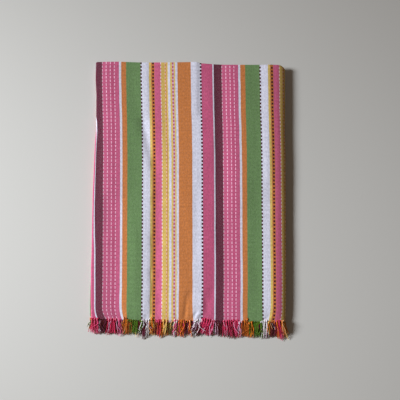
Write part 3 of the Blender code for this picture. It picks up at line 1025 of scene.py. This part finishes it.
class Shader:
    """A new material's nodes, with short calls for the ones used here."""

    def __init__(self, name, roughness, sheen):
        self.material = bpy.data.materials.new(name)
        self.material.use_nodes = True
        self.tree = self.material.node_tree
        self.surface = self.tree.nodes["Principled BSDF"]
        for name, value in (("Roughness", roughness), ("Sheen Weight", sheen),
                            ("Sheen Roughness", SHEEN_ROUGHNESS), ("Specular IOR Level", SPECULAR)):
            self.surface.inputs[name].default_value = value

    def set(self, socket, value):
        """Links an output to a socket, or gives the socket a number."""
        if isinstance(value, bpy.types.NodeSocket):
            self.tree.links.new(value, socket)
        else:
            socket.default_value = value

    def node(self, kind, **inputs):
        """A new node, with its named inputs set."""
        node = self.tree.nodes.new("ShaderNode" + kind)
        for name, value in inputs.items():
            self.set(node.inputs[name], value)
        return node

    def calc(self, operation, *values):
        """The result of a maths node."""
        node = self.node("Math")
        node.operation = operation
        for socket, value in zip(node.inputs, values):
            self.set(socket, value)
        return node.outputs[0]

    def noise(self, places, cell, spread, middle, detail=1.0):
        """Noise over two places, in cells of the given size, which spreads so far round a middle value."""
        x, y = (self.calc("DIVIDE", place, size) for place, size in zip(places, cell))
        vector = self.node("CombineXYZ", X=x, Y=y).outputs[0]
        noise = self.node("TexNoise", Vector=vector, Scale=1.0, Detail=detail).outputs["Fac"]
        return self.calc("MULTIPLY_ADD", noise, spread, middle - spread / 2)

    def blend(self, share, first, second):
        """A mix of two colours."""
        node = self.node("Mix")
        node.data_type = "RGBA"
        for name, value in (("Factor_Float", share), ("A_Color", first), ("B_Color", second)):
            socket = next(s for s in node.inputs if s.identifier == name)
            self.set(socket, value)
        return next(s for s in node.outputs if s.identifier == "Result_Color")

    def paint(self, colour, brightness):
        """Gives the surface a colour, with its brightness changed."""
        node = self.node("HueSaturation", Color=colour, Value=brightness)
        self.set(self.surface.inputs["Base Color"], node.outputs[0])

    def between(self, place, start, end):
        """1 where a place lies between two others, and 0 elsewhere."""
        return self.calc("COMPARE", place, (start + end) / 2, (end - start) / 2)

    def places(self):
        """The two places that the weave map holds, in metres."""
        node = self.node("UVMap")
        node.uv_map = "weave"
        return self.node("SeparateXYZ", Vector=node.outputs[0]).outputs[:2]

    def bump(self, height, strength):
        """Gives the surface a bump from a height."""
        node = self.node("Bump", Height=height, Distance=BUMP_DISTANCE, Strength=strength)
        self.set(self.surface.inputs["Normal"], node.outputs[0])


def warp_colour(colour):
    """The warp's own colour in a stripe whose whole colour is given, without the weft that shows in it."""
    whole, weft = linear(colour), linear(WEFT_COLOUR)
    return (*(max(a - WEFT_COVER * b, 0) / (1 - WEFT_COVER) for a, b in zip(whole[:3], weft)), 1.0)


def weave_height(calc, across_at, along_at):
    """The warp yarns' height, from 0 to 1: each dives under every other pick, its neighbours between."""
    yarn = calc("DIVIDE", across_at, WARP_PITCH)
    pick = calc("ADD", calc("DIVIDE", along_at, PICK_PITCH), calc("FLOOR", yarn))
    round_top = calc("SINE", calc("MULTIPLY", calc("FRACT", yarn), math.pi))
    wave = calc("SINE", calc("MULTIPLY", pick, math.pi))
    return calc("MULTIPLY", round_top, calc("MULTIPLY_ADD", wave, PICK_DIP, 1 - PICK_DIP))


def striped_cotton():
    """Woven cotton: the warp's stripes and dotted lines, a paler weft between, soft mottling, painted shade
    between the yarns and bump.
    """
    shader = Shader("striped_cotton", roughness=0.88, sheen=0.12)
    calc = shader.calc
    across_at, along_at = shader.places()
    stray = shader.noise((across_at, along_at), STRIPE_STRAY_CELL, STRIPE_STRAY, 0.0)
    across_at = calc("ADD", across_at, stray)
    repeat = calc("MULTIPLY", calc("FRACT", calc("DIVIDE", across_at, STRIPE_REPEAT)), STRIPE_REPEAT)

    colour = warp_colour(CLOTH_COLOURS[STRIPES[0][1]])
    for start, name in STRIPES[1:]:
        past = calc("GREATER_THAN", repeat, start * MM)
        colour = shader.blend(past, colour, warp_colour(CLOTH_COLOURS[name]))

    height = weave_height(calc, across_at, along_at)
    weft_shows = calc("MULTIPLY", calc("LESS_THAN", height, WEFT_LOW), WEFT_SHARE)
    lines = [shader.between(repeat, start * MM, end * MM) for start, end, _, _ in MARKED_LINES]
    for line in lines:
        weft_shows = calc("MULTIPLY", weft_shows, calc("SUBTRACT", 1.0, line))
    colour = shader.blend(weft_shows, colour, linear(WEFT_COLOUR))

    places = (across_at, along_at)
    turn = calc("DIVIDE", calc("SUBTRACT", along_at, MARK_CENTRE), MARK_PITCH)
    turn = calc("ADD", turn, shader.noise(places, MARK_STRAY_CELL, MARK_STRAY, 0.0))
    from_centre = calc("ABSOLUTE", calc("SUBTRACT", turn, calc("ROUND", turn)))
    for line, (_, _, name, long) in zip(lines, MARKED_LINES):
        mark = calc("MULTIPLY", line, calc("LESS_THAN", from_centre, long / 2))
        colour = shader.blend(mark, colour, linear(CLOTH_COLOURS[name]))

    # Painted shade: the weave is darker where its yarns dip
    shade_and_mottle = calc("MULTIPLY_ADD", height, *WEAVE_SHADE)
    for across_cell, along_cell, detail, spread in MOTTLES:
        mottle = shader.noise(places, (across_cell * MM, along_cell * MM), spread, 1.0, detail)
        shade_and_mottle = calc("MULTIPLY", shade_and_mottle, mottle)
    # Painted light: the rose stripes of the second repeat are made brighter
    first, last, more = PAINTED_LIGHT_STRIPES
    paler = shader.between(across_at, first * MM, last * MM)
    shader.paint(colour, calc("MULTIPLY", shade_and_mottle, calc("MULTIPLY_ADD", paler, more, 1.0)))
    shader.bump(height, strength=0.25)
    return shader.material


def fringe_yarn():
    """Plied cotton yarn in each bunch's own colours, with painted shade in the grooves between its plies."""
    shader = Shader("fringe_yarn", roughness=0.92, sheen=0.15)
    calc = shader.calc
    around_at, along_at = shader.places()
    colour = shader.node("Attribute")
    colour.attribute_name = "yarn_colour"
    turn = calc("ADD", calc("MULTIPLY", around_at, PLIES), calc("DIVIDE", along_at, PLY_PITCH))
    ply = calc("ABSOLUTE", calc("SINE", calc("MULTIPLY", turn, math.pi)))
    # Painted shade: each yarn is darker in the grooves between its plies
    shader.paint(colour.outputs["Color"], calc("MULTIPLY_ADD", ply, *PLY_SHADE))
    shader.bump(ply, strength=0.5)
    return shader.material


def make_floor():
    """A plain pale floor."""
    shader = Shader("floor", roughness=0.95, sheen=0.0)
    shader.surface.inputs["Base Color"].default_value = linear(FLOOR_COLOUR)
    half = FLOOR_SIZE / 2
    mesh = bpy.data.meshes.new("floor")
    corners = [(x, y, -FLOOR_DROP) for x, y in ((-half, -half), (half, -half), (half, half), (-half, half))]
    mesh.from_pydata(corners, [], [(0, 1, 2, 3)])
    mesh.materials.append(shader.material)
    put("floor", mesh)


def aimed(lamp, place, target):
    """Moves a lamp to a place, and turns it towards a target."""
    lamp.location = place
    back = [a - b for a, b in zip(place, target)]
    flat = math.hypot(back[0], back[1])
    lamp.rotation_euler = (math.atan2(flat, back[2]), 0, math.atan2(back[1], back[0]) + math.pi / 2)


def make_lights():
    """A soft key light from the left, low over the cloth, and an even fill."""
    key = bpy.data.lights.new("key", "AREA")
    key.shape = "DISK"
    key.size = KEY_SIZE
    key.spread = KEY_SPREAD
    key.energy = KEY_POWER
    key.color = KEY_COLOUR
    flat = KEY_DISTANCE * math.cos(KEY_ELEVATION)
    place = (-flat * math.cos(KEY_TURN), flat * math.sin(KEY_TURN), KEY_DISTANCE * math.sin(KEY_ELEVATION))
    aimed(put("key", key), place, KEY_AIM)
    world = bpy.data.worlds.new("fill")
    world.use_nodes = True
    background = world.node_tree.nodes["Background"].inputs
    background["Color"].default_value = (*FILL_COLOUR, 1)
    background["Strength"].default_value = FILL_STRENGTH
    bpy.context.scene.world = world


def make_camera():
    """The camera above the cloth, tipped a little towards its hem."""
    data = bpy.data.cameras.new("camera")
    data.lens = LENS
    data.sensor_width = SENSOR
    camera = put("camera", data)
    camera.location = (AIM[0], AIM[1] - CAMERA_DISTANCE * math.sin(CAMERA_TILT),
                       AIM[2] + CAMERA_DISTANCE * math.cos(CAMERA_TILT))
    camera.rotation_euler = (CAMERA_TILT, 0, 0)
    bpy.context.scene.camera = camera
    bpy.context.scene.view_settings.view_transform = "Standard"


def main():
    """Builds the stage, the cloth and its fringes."""
    make_camera()
    make_lights()
    make_floor()
    cloth = make_cloth(striped_cotton())
    yarn = fringe_yarn()
    outer = make_fringe("outer_yarn_fringe", "outer_fringe", 1, OUTER_SEED, yarn)
    inner = make_fringe("inner_yarn_fringe", "inner_fringe", -1, INNER_SEED, yarn)
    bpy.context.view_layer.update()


main()
